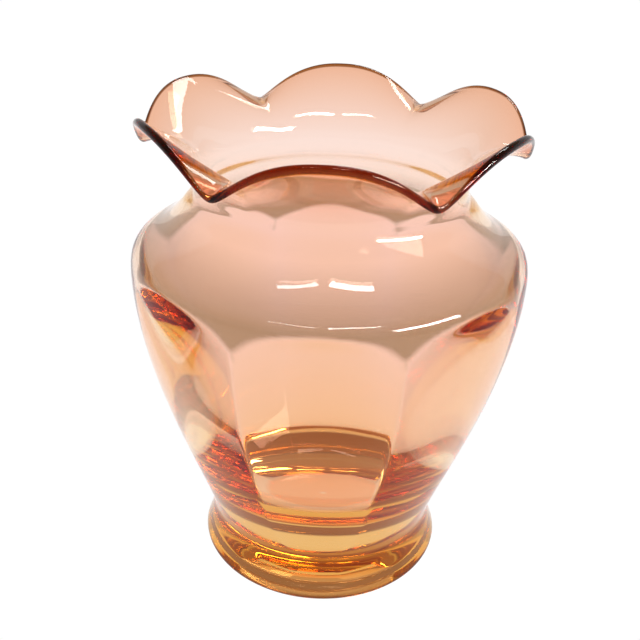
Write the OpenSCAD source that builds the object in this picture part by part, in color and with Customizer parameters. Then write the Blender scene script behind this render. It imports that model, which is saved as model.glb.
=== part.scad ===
// Ruffled glass vase with eight flat panels inside the body.
// The glass is one casting. Its members are separate solids that meet face to face.
// The axis of the vase is Z, it stands on Z = 0, and the middle of one rim lobe faces -Y.

/* [Overall] */
// Height from the table to the top of the rim lobes
height = 150; // [146:1:156]
// Diameter of the belly, the widest part
belly_d = 121; // [118:1:125]
// Height of the belly
belly_z = 102.5; // [100:0.5:104]

/* [Foot] */
// Diameter of the foot near the table
foot_d = 81; // [79:1:84]
// Diameter of the waist above the foot
waist_d = 75.6; // [73:0.2:77]
// Height of the waist, where the foot's flare ends
waist_z = 14.5; // [13:0.5:17]
// Radius of the foot's bottom edge
foot_edge = 1.6; // [0.8:0.2:2.4]
// Width of the flat ring that the vase stands on
ring_w = 5; // [3:0.5:7]
// Depth of the hollow under the foot
recess = 1.8; // [1:0.2:3]

/* [Body] */
// Number of flat panels inside the body
panels = 8; // [6:2:12]
// Height of the floor inside
floor_z = 11; // [10:0.5:12.5]
// Distance from the axis to a panel at the floor
floor_reach = 15; // [13:0.5:18]
// Distance from the axis to a panel at its crease under the shoulder
panel_reach = 54.7; // [53:0.1:55]
// Height of that crease
crease_z = 99; // [96:0.5:100]
// Wall thickness at the belly, above the corners between panels
corner_wall = 2; // [1.8:0.1:2.6]

/* [Neck] */
// Outer diameter of the collar, where the shoulder ends
collar_d = 88.8; // [87:0.2:91]
// Height of the collar
collar_z = 122; // [121:0.5:123]
// Outer diameter of the throat, the narrowest place under the rim
throat_d = 81.2; // [78:0.2:84]
// Height of the throat
throat_z = 128.5; // [127.5:0.5:130]
// Wall thickness of the neck
neck_wall = 2.8; // [2.4:0.1:3.4]

/* [Rim] */
// Number of lobes, with a crimp between each pair
lobes = 6; // [4:1:8]
// Diameter over the rim
rim_d = 114; // [108:1:118]
// Height by which a crimp lies below a lobe
crimp_drop = 11; // [6:0.5:12]
// Shape of a lobe: a higher value makes its top flatter
lobe_power = 2.3; // [2:0.1:3.5]
// Upward slope of the lip at the middle of a lobe
lobe_slope = 42; // [20:1:55]
// Downward slope of the lip at a crimp
crimp_slope = 24; // [0:1:35]
// Wall thickness at the rim's rounded edge
edge_wall = 2.4; // [2:0.1:2.8]

/* [Hidden] */

round_fn = 144;    // facets of a full turn
steps = 14;        // straight steps of one curve in an outline
foot_top = 9;      // level where the foot ends and the base begins
collar_lean = 37;  // lean of the shoulder's upper end from upright
lobe_steps = 20;   // steps around one lobe
lip_steps = 11;    // steps from the throat to the rim's edge
edge_steps = 5;    // steps around the rim's rounded edge
crimp_soft = 0.1;  // share of half a lobe over which a crimp's fold is rounded
lip_rise = 8;      // length of the lip's curve handle at the throat
lip_reach = 8;     // length of the lip's curve handle at the edge
over = 1;          // length by which a void runs past the glass
panel_lean = 7.5;  // outward lean of a panel at its crease, over a rise of 48

foot_r = foot_d / 2;
waist_r = waist_d / 2;
belly_r = belly_d / 2;
collar_r = collar_d / 2;
throat_r = throat_d / 2;
ring_in_r = foot_r - foot_edge - ring_w;
void_r = belly_r - corner_wall;
edge_r = (rim_d - edge_wall) / 2;
edge_z = height - edge_wall / 2;

// Points of a cubic curve from a to d, with handle ends b and c.
function curve(a, b, c, d, n = steps) = [
    for (i = [0 : n])
        let (t = i / n, s = 1 - t)
        s * s * s * a + 3 * s * s * t * b + 3 * s * t * t * c + t * t * t * d
];

// Last point of a list.
function last(points) = points[len(points) - 1];

// All the points of a list but the first.
function after_first(points) = [for (i = [1 : len(points) - 1]) points[i]];

// Direction in which the shoulder runs into the neck.
lean_in = [-sin(collar_lean), cos(collar_lean)];

// Quarter circle round the foot's bottom edge, then the flare up to the waist.
foot_side = concat(
    [for (a = [0 : 15 : 75]) [foot_r - foot_edge + foot_edge * sin(a), foot_edge * (1 - cos(a))]],
    curve([foot_r, foot_edge], [foot_r - 1.5, foot_edge + 4], [waist_r, waist_z - 4], [waist_r, waist_z])
);

// Outer outline of the body, from the waist to the belly.
body_side = curve(
    [waist_r, waist_z],
    [waist_r, waist_z + 8.5],
    [belly_r, belly_z - 33.7],
    [belly_r, belly_z]
);

// Outline of a panel, from the floor to its crease.
panel_side = curve(
    [floor_reach, floor_z],
    [floor_reach + 18.7, floor_z + 11],
    [panel_reach - panel_lean, crease_z - 48],
    [panel_reach, crease_z]
);

// Outline of a shoulder, from upright at the belly to the collar's lean.
function shoulder_side(belly, collar, rise, reach) =
    curve(belly, belly + [0, rise], collar - reach * lean_in, collar);

// Outline of a neck, from the collar's lean to upright at the throat.
function neck_side(collar, throat) =
    curve(collar, collar + 3 * lean_in, throat - [0, 3], throat, 8);

outer_shoulder = shoulder_side([belly_r, belly_z], [collar_r, collar_z], 11.9, 18.3);
outer_neck = neck_side([collar_r, collar_z], [throat_r, throat_z]);

// The inner collar lies one wall thickness in from the outer one, square to the lean.
inner_collar = [collar_r, collar_z] - neck_wall * [cos(collar_lean), sin(collar_lean)];
inner_throat = [throat_r - neck_wall, throat_z];
inner_side = concat(
    shoulder_side([void_r, belly_z], inner_collar, 10.5, 17.5),
    after_first(neck_side(inner_collar, inner_throat))
);

// Solid of revolution inside an outline that runs upward, closed to the axis at both ends.
module turned(outline) {
    rotate_extrude($fn = round_fn)
        polygon(concat([[0, outline[0][1]]], outline, [[0, last(outline)[1]]]));
}

// Level slice of the foot's and the waist's solid glass.
module foot_slice(low, high) {
    intersection() {
        turned(foot_side);
        translate([0, 0, low])
            cylinder(r = belly_r, h = high - low, $fn = round_fn);
    }
}

// The room between the flat panels: one long section for each opposite pair, crossed with the others.
module panel_void() {
    right = concat(
        panel_side,
        [[panel_reach + panel_lean * (throat_z - crease_z) / 48, throat_z]]
    );
    left = [for (i = [len(right) - 1 : -1 : 0]) [-right[i][0], right[i][1]]];
    pairs = panels / 2;
    intersection_for (k = [0 : pairs - 1])
        rotate([90, 0, 90 + k * 360 / panels])
            linear_extrude(height = 2 * belly_d, center = true)
                polygon(concat(right, left));
}

// The room inside the body: the panels end at the round wall of the belly.
module body_void() {
    intersection() {
        panel_void();
        cylinder(r = void_r, h = belly_z + over, $fn = round_fn);
    }
}

// The round room inside the shoulder and the neck.
module round_void() {
    turned(concat(
        [[void_r, belly_z - over]],
        inner_side,
        [inner_throat + [0, over]]
    ));
}

// Distance from a crimp as a share of half a lobe, with the sharp fold of the crimp rounded.
function softened(share) = sqrt(share * share + crimp_soft * crimp_soft) - crimp_soft;

// How far a bearing lies from the middle of its lobe: 0 at the middle and 1 at a crimp.
function off_middle(angle) =
    let (turn = angle * lobes / 360, part = turn - floor(turn))
    1 - softened(1 - 2 * min(part, 1 - part)) / softened(1);

// Middle of the lip's wall at a bearing, from the throat (0) to the edge (1).
function lip_line(angle) =
    let (
        off = off_middle(angle),
        throat = [throat_r - neck_wall / 2, throat_z],
        edge = [edge_r, edge_z - crimp_drop * pow(off, lobe_power)],
        slope = lobe_slope - (lobe_slope + crimp_slope) * pow(off, lobe_power)
    )
    curve(
        throat,
        throat + [0, lip_rise],
        edge - lip_reach * [cos(slope), sin(slope)],
        edge,
        lip_steps
    );

// Unit direction from one point to another.
function heading(from, to) = (to - from) / norm(to - from);

// Direction along the lip at one of its points: upright at the throat.
function along(line, i) =
    i == 0 ? [0, 1] : heading(line[i - 1], line[min(i + 1, lip_steps)]);

// Half of the wall thickness at a point of the lip.
function half_wall(i) = (neck_wall + (edge_wall - neck_wall) * i / lip_steps) / 2;

// Closed section of the lip at a bearing: up the outside, round the edge and down the inside.
function lip_section(angle) =
    let (
        line = lip_line(angle),
        ahead = along(line, lip_steps),
        out = [ahead[1], -ahead[0]],
        tip = last(line)
    )
    concat(
        [for (i = [0 : lip_steps]) let (d = along(line, i)) line[i] + half_wall(i) * [d[1], -d[0]]],
        [for (j = [1 : edge_steps - 1])
            let (a = 180 * j / edge_steps)
            tip + edge_wall / 2 * (cos(a) * out + sin(a) * ahead)],
        [for (i = [lip_steps : -1 : 0]) let (d = along(line, i)) line[i] - half_wall(i) * [d[1], -d[0]]]
    );

// Places a point of a section at its bearing. Bearing 0 faces -Y.
function placed(p, angle) = [p[0] * sin(angle), -p[0] * cos(angle), p[1]];

module foot() {
    color([0.93, 0.62, 0.42])
        difference() {
            foot_slice(0, foot_top);
            translate([0, 0, -over])
                cylinder(r1 = ring_in_r, r2 = ring_in_r - 2, h = over + recess, $fn = round_fn);
        }
}

module base() {
    color([0.95, 0.68, 0.48])
        difference() {
            foot_slice(foot_top, waist_z);
            panel_void();
        }
}

module body() {
    color([0.95, 0.78, 0.67])
        difference() {
            turned(body_side);
            body_void();
        }
}

module shoulder() {
    color([0.85, 0.68, 0.52])
        difference() {
            turned(outer_shoulder);
            intersection() {
                panel_void();
                round_void();
            }
        }
}

module neck() {
    color([0.92, 0.74, 0.60])
        difference() {
            turned(outer_neck);
            round_void();
        }
}

module rim() {
    around = lobes * lobe_steps;
    sections = [
        for (k = [0 : around - 1])
            let (angle = 360 * k / around)
            [for (p = lip_section(angle)) placed(p, angle)]
    ];
    size = len(sections[0]);
    points = [for (section = sections, p = section) p];
    faces = [
        for (k = [0 : around - 1], i = [0 : size - 1])
            let (
                here = k * size,
                next = ((k + 1) % around) * size,
                j = (i + 1) % size
            )
            [here + i, here + j, next + j, next + i]
    ];
    color([0.80, 0.48, 0.30])
        polyhedron(points = points, faces = faces, convexity = 6);
}

foot();
base();
body();
shoulder();
neck();
rim();
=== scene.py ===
"""Ruffled vase of clear peach-pink pressed glass, standing on a pale studio floor.

The whole vase is one seamless piece of glass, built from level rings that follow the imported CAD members.
Lengths are in metres and angles in degrees. Bearing 0 faces -Y and bearings grow towards +X.
"""

import math

import bpy
import numpy as np
from mathutils import Matrix, Vector


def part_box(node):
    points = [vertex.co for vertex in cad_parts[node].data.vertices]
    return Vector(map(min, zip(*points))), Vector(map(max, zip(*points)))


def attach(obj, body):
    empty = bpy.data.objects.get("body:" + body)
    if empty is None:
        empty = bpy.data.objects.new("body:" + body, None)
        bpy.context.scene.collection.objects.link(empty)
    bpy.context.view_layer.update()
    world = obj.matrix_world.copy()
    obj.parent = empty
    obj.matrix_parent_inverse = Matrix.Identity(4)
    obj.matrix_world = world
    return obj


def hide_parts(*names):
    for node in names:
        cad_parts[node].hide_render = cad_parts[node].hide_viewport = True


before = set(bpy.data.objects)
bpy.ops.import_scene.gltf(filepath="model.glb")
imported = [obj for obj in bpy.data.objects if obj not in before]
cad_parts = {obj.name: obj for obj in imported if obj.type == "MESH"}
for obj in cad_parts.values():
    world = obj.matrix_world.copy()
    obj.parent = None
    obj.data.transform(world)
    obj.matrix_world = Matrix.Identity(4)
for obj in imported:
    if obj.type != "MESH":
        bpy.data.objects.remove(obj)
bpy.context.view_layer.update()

MM = 0.001

# ---------------------------------------------------------------- sizes from the frame

_, FOOT_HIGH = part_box("foot")
BODY_LOW, BODY_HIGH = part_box("body")
_, SHOULDER_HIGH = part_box("shoulder")
_, NECK_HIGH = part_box("neck")
_, RIM_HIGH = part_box("rim")

FOOT_R = FOOT_HIGH.x
WAIST_Z = BODY_LOW.z
BELLY_R = BODY_HIGH.x
BELLY_Z = BODY_HIGH.z
COLLAR_R = NECK_HIGH.x
COLLAR_Z = SHOULDER_HIGH.z
THROAT_Z = NECK_HIGH.z
RIM_R = RIM_HIGH.x
TOP_Z = RIM_HIGH.z

# ---------------------------------------------------------------- sizes that the frame's boxes don't show

WAIST_R = 37.8 * MM
THROAT_R = 40.6 * MM
COLLAR_LEAN = 37            # how far the shoulder leans in where it meets the neck

ROOM_WALL = 2 * MM          # wall at the belly
NECK_WALL = 2.8 * MM
EDGE_WALL = 2.4 * MM        # wall at the lip's rounded edge
EDGE_LIFT = 1.2 * MM        # how far the lobes stand above the CAD rim
ROOM_R = BELLY_R - ROOM_WALL
EDGE_R = RIM_R - EDGE_WALL / 2
EDGE_Z = TOP_Z - EDGE_WALL / 2 + EDGE_LIFT

# Under the foot.
FOOT_EDGE = 1.6 * MM        # radius of the rounded bottom edge
RING_W = 5 * MM             # width of the flat ring that the vase stands on
RING_STOPS = (0.4, 0.7, 0.9)    # shares of that width at which the ring has points
RECESS = 1.8 * MM           # depth of the hollow inside the ring, in its middle
RECESS_FALL = 0.12          # share of that depth by which the hollow is shallower at the ring
STEP_TOP = 0.9              # share of that depth at which the step down to the ring starts
STEP_ENDS = (-1.6 * MM, 0.6 * MM)       # where the step starts and ends, from the ring's inner edge
STEP_HANDLES = (-0.5 * MM, -0.3 * MM)   # its two handle ends, from the same edge

# Lengths of the handles that shape the outline, outside and then inside.
FOOT_IN, FOOT_UP = 1.5 * MM, 4 * MM
WAIST_DOWN, WAIST_UP = 4 * MM, 8.5 * MM
BELLY_DOWN, BELLY_UP = 33.7 * MM, 11.9 * MM
COLLAR_DOWN, COLLAR_UP = 18.3 * MM, 3 * MM
THROAT_DOWN = 3 * MM
ROOM_UP, ROOM_COLLAR_DOWN = 10.5 * MM, 17.5 * MM

# The panels and the floor inside.
PANELS = 8
FLOOR_Z = 11 * MM           # height of the floor at its corners
FLOOR_DIP = 2 * MM          # how much lower it is in the middle
FLOOR_CORNER = 16 * MM      # distance of its corners from the middle
CREASE_Z = 99 * MM          # height at which the corners between panels reach the round wall
LOW_HANDLE = (20 * MM, 11 * MM)     # out and up from the floor's corner
HIGH_HANDLE = (8 * MM, 48 * MM)     # in and down from the crease
BOW = 0.6                   # 0 for flat panels, 1 for a round wall
PANEL_SHARPNESS = 260       # higher makes the corners between panels crisper
SHOULDER_BLEND = 240        # higher makes the scalloped edge above the panels crisper

# The lip.
LOBES = 6
LIP_RISE = 8 * MM           # handle at the throat
LIP_REACH = 8 * MM          # handle at the edge
LOBE_SLOPE = 42             # slope of the lip at its edge, in the middle of a lobe
CRIMP_SLOPE = -24           # the same at a crimp
CRIMP_DROP = 11 * MM        # how much lower the edge is at a crimp
CRIMP_SOFTNESS = 0.1        # share of a lobe over which the crimp's fold is rounded
LOBE_POWER = 2.3            # higher makes the lobes flatter and the crimps narrower

# Steps of the mesh.
AROUND = 336                # points round the vase: a multiple of twice the panels and of twice the lobes
HOLLOW_RINGS = 9
STEP_STEPS = 6
FOOT_STEPS = 12
BODY_STEPS = 36
SHOULDER_STEPS = 28
ROOM_STEPS = 32
NECK_STEPS = 10
SIDE_STEPS = 44
ABOVE_STEPS = 6
FLOOR_STEPS = 12
LIP_STEPS = 26
EDGE_STEPS = 10

BEARINGS = np.arange(AROUND) * 360 / AROUND


# ---------------------------------------------------------------- outlines

def curve(a, b, c, d, steps):
    """Points of a cubic curve from a to d with handle ends b and c, as rows of (radius, height)."""
    t = np.linspace(0, 1, steps + 1)[:, None]
    s = 1 - t
    a, b, c, d = (np.array(p, float) for p in (a, b, c, d))
    return s**3 * a + 3 * s * s * t * b + 3 * s * t * t * c + t**3 * d


def lean_in():
    """Direction in which the shoulder runs into the neck, as (radius, height)."""
    a = math.radians(COLLAR_LEAN)
    return np.array([-math.sin(a), math.cos(a)])


def under_foot():
    """From the middle of the hollow under the foot, over the ring, to the foot's side."""
    ring_out = FOOT_R - FOOT_EDGE
    ring_in = ring_out - RING_W
    shares = [k / (HOLLOW_RINGS + 1) for k in range(1, HOLLOW_RINGS + 1)]
    hollow = [(ring_in * share, RECESS * (1 - RECESS_FALL * share**2)) for share in shares]
    step = curve(
        (ring_in + STEP_ENDS[0], RECESS * STEP_TOP), (ring_in + STEP_HANDLES[0], RECESS * STEP_TOP),
        (ring_in + STEP_HANDLES[1], 0), (ring_in + STEP_ENDS[1], 0), STEP_STEPS,
    )
    flat = [(ring_in + RING_W * share, 0) for share in RING_STOPS]
    turn = [math.radians(a) for a in range(0, 91, 15)]
    edge = [(ring_out + FOOT_EDGE * math.sin(a), FOOT_EDGE * (1 - math.cos(a))) for a in turn]
    return np.array(hollow + list(step) + flat + edge)


def outer_side():
    """From the foot's side up to the throat."""
    foot = curve(
        (FOOT_R, FOOT_EDGE), (FOOT_R - FOOT_IN, FOOT_EDGE + FOOT_UP),
        (WAIST_R, WAIST_Z - WAIST_DOWN), (WAIST_R, WAIST_Z), FOOT_STEPS,
    )
    body = curve(
        (WAIST_R, WAIST_Z), (WAIST_R, WAIST_Z + WAIST_UP),
        (BELLY_R, BELLY_Z - BELLY_DOWN), (BELLY_R, BELLY_Z), BODY_STEPS,
    )
    collar = np.array([COLLAR_R, COLLAR_Z])
    shoulder = curve(
        (BELLY_R, BELLY_Z), (BELLY_R, BELLY_Z + BELLY_UP),
        collar - COLLAR_DOWN * lean_in(), collar, SHOULDER_STEPS,
    )
    neck = curve(
        collar, collar + COLLAR_UP * lean_in(),
        (THROAT_R, THROAT_Z - THROAT_DOWN), (THROAT_R, THROAT_Z), NECK_STEPS,
    )
    return np.concatenate([foot[1:], body[1:], shoulder[1:], neck[1:]])


def round_inside():
    """The round room of the shoulder and the neck, from the belly up to the throat."""
    lean = math.radians(COLLAR_LEAN)
    collar = np.array([COLLAR_R, COLLAR_Z]) - NECK_WALL * np.array([math.cos(lean), math.sin(lean)])
    throat = np.array([THROAT_R - NECK_WALL, THROAT_Z])
    shoulder = curve(
        (ROOM_R, BELLY_Z), (ROOM_R, BELLY_Z + ROOM_UP),
        collar - ROOM_COLLAR_DOWN * lean_in(), collar, ROOM_STEPS,
    )
    neck = curve(collar, collar + COLLAR_UP * lean_in(), throat - [0, THROAT_DOWN], throat, NECK_STEPS)
    return np.concatenate([shoulder, neck[1:]])


def past_crease(height):
    """Radius of the corners between panels above the crease, if they ran on with the same lean."""
    return ROOM_R + (height - CREASE_Z) * HIGH_HANDLE[0] / HIGH_HANDLE[1]


def corner_side():
    """Radius of the corners between panels at each height, from the floor up to the belly."""
    low = np.array([FLOOR_CORNER, FLOOR_Z])
    crease = np.array([ROOM_R, CREASE_Z])
    side = curve(low, low + LOW_HANDLE, crease - HIGH_HANDLE, crease, SIDE_STEPS)
    heights = [CREASE_Z + (BELLY_Z - CREASE_Z) * k / ABOVE_STEPS for k in range(1, ABOVE_STEPS + 1)]
    return np.concatenate([side, [(past_crease(height), height) for height in heights]])


# ---------------------------------------------------------------- rings

def ring(radius, height):
    """Points round the vase at the radii and heights given for each bearing."""
    a = np.radians(BEARINGS)
    radius = np.broadcast_to(radius, a.shape)
    height = np.broadcast_to(height, a.shape)
    return np.stack([radius * np.sin(a), -radius * np.cos(a), height], axis=1)


def panel_radius(corner):
    """Radius at each bearing of a regular outline with slightly bowed sides."""
    centres = np.arange(PANELS) * 360 / PANELS
    facing = np.cos(np.radians(BEARINGS[:, None] - centres[None, :])).clip(0)
    flat = math.cos(math.pi / PANELS) / (facing**PANEL_SHARPNESS).sum(axis=1) ** (1 / PANEL_SHARPNESS)
    return corner * (flat + (1 - flat) * BOW)


def smaller(a, b, crispness):
    """The smaller of two radii, with a soft change from one to the other."""
    less, more = np.minimum(a, b), np.maximum(a, b)
    return less * (1 + (less / more) ** crispness) ** (-1 / crispness)


def inner_rings():
    """Level rings of the inside, from the throat down to the middle of the floor."""
    rings = []
    for radius, height in round_inside()[::-1]:
        rings.append(ring(smaller(radius, panel_radius(past_crease(height)), SHOULDER_BLEND), height))
    for corner, height in corner_side()[::-1][1:]:
        rings.append(ring(smaller(ROOM_R, panel_radius(corner), SHOULDER_BLEND), height))
    for k in range(FLOOR_STEPS - 1, 0, -1):
        share = k / FLOOR_STEPS
        rings.append(ring(panel_radius(FLOOR_CORNER * share), FLOOR_Z - FLOOR_DIP * math.sqrt(1 - share**2)))
    return rings


def off_middle():
    """How far each bearing lies from the middle of its lobe: 0 at the middle and 1 at a crimp."""
    part = (BEARINGS * LOBES / 360) % 1
    to_crimp = 1 - 2 * np.minimum(part, 1 - part)
    soft = np.sqrt(to_crimp**2 + CRIMP_SOFTNESS**2) - CRIMP_SOFTNESS
    return 1 - soft / soft.max()


def lip_rings():
    """Rings up the outside of the lip, round its edge and down the inside to the throat."""
    off = off_middle() ** LOBE_POWER
    slope = np.radians(LOBE_SLOPE + (CRIMP_SLOPE - LOBE_SLOPE) * off)
    edge = np.stack([np.full(AROUND, EDGE_R), EDGE_Z - CRIMP_DROP * off], axis=1)
    throat = np.array([THROAT_R - NECK_WALL / 2, THROAT_Z])
    t = np.linspace(0, 1, LIP_STEPS + 1)[:, None, None]
    s = 1 - t
    reach = LIP_REACH * np.stack([np.cos(slope), np.sin(slope)], axis=1)
    line = (
        s**3 * throat + 3 * s * s * t * (throat + [0, LIP_RISE])
        + 3 * s * t * t * (edge - reach) + t**3 * edge
    )
    ahead = np.gradient(line, axis=0)
    ahead /= np.linalg.norm(ahead, axis=2, keepdims=True)
    ahead[0] = [0, 1]
    out = np.stack([ahead[..., 1], -ahead[..., 0]], axis=2)
    half = (NECK_WALL + (EDGE_WALL - NECK_WALL) * t) / 2
    outside = line + half * out
    inside = line - half * out
    rings = [ring(p[:, 0], p[:, 1]) for p in outside[1:]]
    for k in range(1, EDGE_STEPS):
        a = math.pi * k / EDGE_STEPS
        p = line[-1] + EDGE_WALL / 2 * (math.cos(a) * out[-1] + math.sin(a) * ahead[-1])
        rings.append(ring(p[:, 0], p[:, 1]))
    rings += [ring(p[:, 0], p[:, 1]) for p in inside[:0:-1]]
    return rings


# ---------------------------------------------------------------- tints of the glass's surface, and a band of painted shade

BODY_TINT = (0.99, 0.82, 0.82)
LIP_TINT = (0.90, 0.55, 0.42)       # at the top of the lip
EDGE_TINT = (0.16, 0.04, 0.006)     # round the edges of lip and foot
FLOOR_TINT = (1.0, 0.5, 0.3)
# painted shade: a darker band on the round wall over the panels, standing in for darker surroundings seen
# through the shoulder
PAINTED_SHADE_BAND = (0.28, 0.21, 0.13)      # on the round wall over the panels
BAND_FULL = 107 * MM                # height up to which the band has its full tint
BAND_END = 120 * MM                 # height at which it has faded out
BAND_BORDER = 0.4 * MM              # how far the wall and a panel part before the band starts in full


def even(tint, rings):
    """One tint all round a number of rings."""
    return [np.tile(tint, (AROUND, 1))] * rings


def towards(tint, share):
    """The body's tint, changed towards another by a share."""
    body = np.array(BODY_TINT)
    return body + (np.array(tint) - body) * share


def on_round_wall(radius, panel):
    """Mask of the painted shade band: 1 where the inside is the round wall, 0 where it is a panel, with a
    narrow change between them.
    """
    return np.clip((panel - radius) / BAND_BORDER + 0.5, 0, 1)[:, None]


def lip_tints():
    """A tint that deepens up the lip, with the darkest one round its edge."""
    climb = [np.tile(towards(LIP_TINT, share), (AROUND, 1)) for share in np.linspace(0, 1, LIP_STEPS)]
    return climb + even(EDGE_TINT, EDGE_STEPS - 1) + climb[::-1]


def inner_tints_and_shade():
    """The painted shade band on the round wall, which fades out under the collar, and the floor's tint."""
    tints = []
    for radius, height in round_inside()[::-1]:
        fade = min(1, max(0, (BAND_END - height) / (BAND_END - BAND_FULL)))
        tints.append(towards(PAINTED_SHADE_BAND, on_round_wall(radius, panel_radius(past_crease(height))) * fade))
    for corner, _ in corner_side()[::-1][1:]:
        tints.append(towards(PAINTED_SHADE_BAND, on_round_wall(ROOM_R, panel_radius(corner))))
    return tints + even(FLOOR_TINT, FLOOR_STEPS - 1)


# ---------------------------------------------------------------- the glass

GLASS_IOR = 1.51
DEPTH_COLOUR = (0.94, 0.735, 0.05, 1)
DEPTH_DENSITY = 50
SHINE = (0.35, 0.35, 0.35, 1)       # reflection seen straight on, as a share of what the IOR gives


def glass_material():
    """Clear glass with a tint at its surface, which also carries the painted shade band over the panels, and
    a peach colour that deepens with the path through it.
    """
    mat = bpy.data.materials.new("peach_glass")
    mat.use_nodes = True
    nodes, links = mat.node_tree.nodes, mat.node_tree.links
    nodes.clear()
    out = nodes.new("ShaderNodeOutputMaterial")
    # the tint attribute holds the glass's surface tints and also the painted shade band over the panels
    tint = nodes.new("ShaderNodeAttribute")
    tint.attribute_name = "tint"
    surface = nodes.new("ShaderNodeBsdfPrincipled")
    surface.inputs["Roughness"].default_value = 0.0
    surface.inputs["IOR"].default_value = GLASS_IOR
    surface.inputs["Specular Tint"].default_value = SHINE
    surface.inputs["Transmission Weight"].default_value = 1
    inside = nodes.new("ShaderNodeVolumeAbsorption")
    inside.inputs["Color"].default_value = DEPTH_COLOUR
    inside.inputs["Density"].default_value = DEPTH_DENSITY
    links.new(tint.outputs["Color"], surface.inputs["Base Color"])
    links.new(surface.outputs["BSDF"], out.inputs["Surface"])
    links.new(inside.outputs["Volume"], out.inputs["Volume"])
    return mat


def skin(name, rings, low_pole, high_pole):
    """One closed mesh through rings of equal length, with a point at each end."""
    points = np.concatenate([[low_pole], *rings, [high_pole]])
    here = np.arange(AROUND)
    beside = (here + 1) % AROUND
    faces = []
    for k in range(len(rings) - 1):
        low = 1 + k * AROUND
        high = low + AROUND
        faces += np.stack([low + here, low + beside, high + beside, high + here], axis=1).tolist()
    top = len(points) - 1
    last = top - AROUND
    faces += [(0, 1 + b, 1 + a) for a, b in zip(here.tolist(), beside.tolist())]
    faces += [(last + a, last + b, top) for a, b in zip(here.tolist(), beside.tolist())]
    mesh = bpy.data.meshes.new(name)
    mesh.from_pydata(points.tolist(), [], faces)
    mesh.polygons.foreach_set("use_smooth", [True] * len(mesh.polygons))
    mesh.update()
    piece = bpy.data.objects.new(name, mesh)
    bpy.context.scene.collection.objects.link(piece)
    return piece


def make_vase():
    """The whole vase, from the middle of the hollow under the foot to the middle of the floor inside."""
    below = [ring(radius, height) for radius, height in under_foot()]
    outside = [ring(radius, height) for radius, height in outer_side()]
    rings = below + outside + lip_rings() + inner_rings()
    tints = even(BODY_TINT, HOLLOW_RINGS) + even(EDGE_TINT, len(below) - HOLLOW_RINGS)
    tints += even(BODY_TINT, len(outside)) + lip_tints() + inner_tints_and_shade()
    piece = skin("vase_glass", rings, (0, 0, RECESS), (0, 0, FLOOR_Z - FLOOR_DIP))
    piece.data.materials.append(glass_material())
    # per-point surface tints, including the painted shade band over the panels
    colours = np.ones((AROUND * len(rings) + 2, 4), dtype=np.float32)
    colours[:, :3] = np.concatenate([[BODY_TINT], *tints, [BODY_TINT]])
    piece.data.color_attributes.new("tint", "FLOAT_COLOR", "POINT").data.foreach_set("color", colours.ravel())
    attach(piece, "root")
    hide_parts("foot", "base", "body", "shoulder", "neck", "rim")


# ---------------------------------------------------------------- studio

GAP = 0.1 * MM              # air between the foot's ring and the floor, so that their faces don't coincide
FLOOR_HALF = 6
FLOOR_GLOW = 1.01
FOOT_SHADE = 0.95           # the floor's glow under the foot, as a share
SHADE_IN = 9 * MM           # how far inside the foot's edge the shade is full
SHADE_OUT = 1.5 * MM        # how far inside it the shade ends

SURROUND_GLOW = 0.7
CANOPY_R = 1.7
CANOPY_Z = 0.95
CANOPY_GLOW = 0.5
CANOPY_COLOUR = (1, 0.72, 0.5)

AIM_Z = 0.1                 # height that the soft boxes face

# Soft boxes: name, bearing, height angle, distance, width, height, strength.
SOFT_BOXES = (
    ("strip_right", 62, 33, 1.1, 0.70, 0.16, 110),
    ("strip_top", 25, 62, 0.7, 0.26, 0.05, 50),
    ("strip_left", -28, 62, 0.7, 0.24, 0.03, 36),
    ("strip_back", 160, 50, 0.8, 0.3, 0.12, 12),
)


def emitter(name, strength, colour=(1, 1, 1)):
    """A surface that glows evenly."""
    mat = bpy.data.materials.new(name)
    mat.use_nodes = True
    nodes, links = mat.node_tree.nodes, mat.node_tree.links
    nodes.clear()
    out = nodes.new("ShaderNodeOutputMaterial")
    glow = nodes.new("ShaderNodeEmission")
    glow.inputs["Color"].default_value = (*colour, 1)
    glow.inputs["Strength"].default_value = strength
    links.new(glow.outputs["Emission"], out.inputs["Surface"])
    return mat


def sheet(name, corners, mat):
    """A flat studio surface through its corners."""
    mesh = bpy.data.meshes.new(name)
    mesh.from_pydata(corners, [], [tuple(range(len(corners)))])
    mesh.materials.append(mat)
    piece = bpy.data.objects.new(name, mesh)
    bpy.context.scene.collection.objects.link(piece)


def make_floor():
    """A wide, plain light table, a little dimmer under the foot."""
    mat = emitter("light_table", FLOOR_GLOW)
    nodes, links = mat.node_tree.nodes, mat.node_tree.links
    place = nodes.new("ShaderNodeTexCoord")
    away = nodes.new("ShaderNodeVectorMath")
    away.operation = "LENGTH"
    shade = nodes.new("ShaderNodeMapRange")
    shade.interpolation_type = "SMOOTHSTEP"
    shade.inputs["From Min"].default_value = FOOT_R - SHADE_IN
    shade.inputs["From Max"].default_value = FOOT_R - SHADE_OUT
    shade.inputs["To Min"].default_value = FLOOR_GLOW * FOOT_SHADE
    shade.inputs["To Max"].default_value = FLOOR_GLOW
    links.new(place.outputs["Object"], away.inputs[0])
    links.new(away.outputs["Value"], shade.inputs["Value"])
    links.new(shade.outputs["Result"], nodes["Emission"].inputs["Strength"])
    corners = [(-1, -1), (1, -1), (1, 1), (-1, 1)]
    sheet("floor", [(x * FLOOR_HALF, y * FLOOR_HALF, -GAP) for x, y in corners], mat)


def make_canopy():
    """A dim, warm disc overhead, for the reflections on the shoulder."""
    round_about = [math.radians(a) for a in range(0, 360, 10)]
    corners = [(CANOPY_R * math.cos(a), CANOPY_R * math.sin(a), CANOPY_Z) for a in round_about]
    sheet("canopy", corners, emitter("dim", CANOPY_GLOW, CANOPY_COLOUR))


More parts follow.
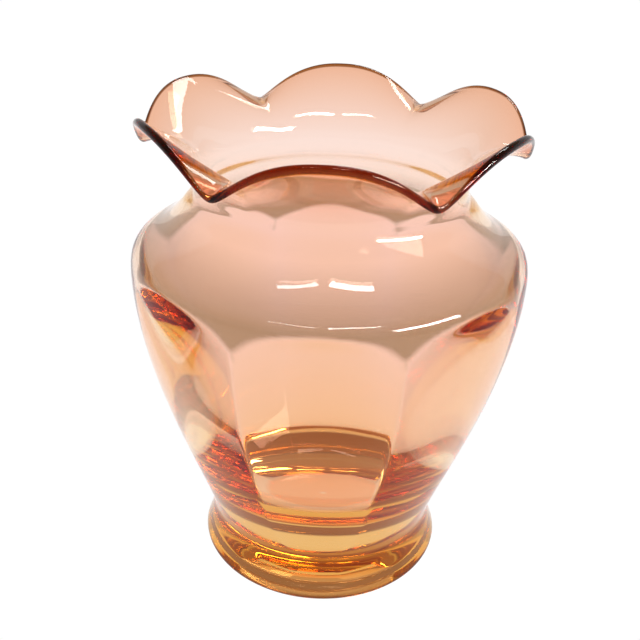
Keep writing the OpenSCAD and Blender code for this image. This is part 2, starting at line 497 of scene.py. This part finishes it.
def soft_box(name, bearing, climb, away, width, height, strength):
    """A glowing rectangle that faces the vase's shoulder."""
    a, e = math.radians(bearing), math.radians(climb)
    outwards = Vector((math.sin(a) * math.cos(e), -math.cos(a) * math.cos(e), math.sin(e)))
    middle = Vector((0, 0, AIM_Z)) + away * outwards
    side = Vector((math.cos(a), math.sin(a), 0)) * width / 2
    rise = side.normalized().cross(outwards) * height / 2
    corners = [middle - side - rise, middle + side - rise, middle + side + rise, middle - side + rise]
    sheet(name, corners, emitter(name + "_glow", strength))


def make_light():
    """An even pale surround, the canopy and the soft boxes for the highlights."""
    world = bpy.data.worlds.new("studio")
    world.use_nodes = True
    back = world.node_tree.nodes["Background"]
    back.inputs["Color"].default_value = (1, 1, 1, 1)
    back.inputs["Strength"].default_value = SURROUND_GLOW
    bpy.context.scene.world = world
    make_canopy()
    for box in SOFT_BOXES:
        soft_box(*box)


# ---------------------------------------------------------------- camera and picture

LENS = 50.58                # focal length in millimetres on a 36 mm sensor
CAMERA_BEARING = 2.06
CAMERA_AWAY = 256.3 * MM
CAMERA_UP = 216 * MM
CAMERA_YAW = 0.51           # turn away from the vase's axis
CAMERA_PITCH = 27.69        # look down
CAMERA_ROLL = 1.80

GAMMA = 0.86
BOUNCES = 128               # light passes through the glass walls many times
GLOSSY_BOUNCES = 64


def make_camera():
    """A camera above and in front of the vase, looking down at it and slightly tilted."""
    data = bpy.data.cameras.new("camera")
    data.sensor_width = 36
    data.lens = LENS
    data.clip_start = 0.01
    camera = bpy.data.objects.new("camera", data)
    bpy.context.scene.collection.objects.link(camera)
    a = math.radians(CAMERA_BEARING)
    turn = Matrix.Rotation(math.radians(CAMERA_BEARING + CAMERA_YAW), 4, "Z")
    tilt = Matrix.Rotation(math.radians(90 - CAMERA_PITCH), 4, "X")
    spin = Matrix.Rotation(math.radians(CAMERA_ROLL), 4, "Z")
    place = Matrix.Translation((CAMERA_AWAY * math.sin(a), -CAMERA_AWAY * math.cos(a), CAMERA_UP))
    camera.matrix_world = place @ turn @ tilt @ spin
    bpy.context.scene.camera = camera


make_camera()
make_vase()
make_floor()
make_light()
scene = bpy.context.scene
scene.view_settings.view_transform = "Standard"
scene.view_settings.gamma = GAMMA
scene.cycles.max_bounces = BOUNCES
scene.cycles.transmission_bounces = BOUNCES
scene.cycles.glossy_bounces = GLOSSY_BOUNCES
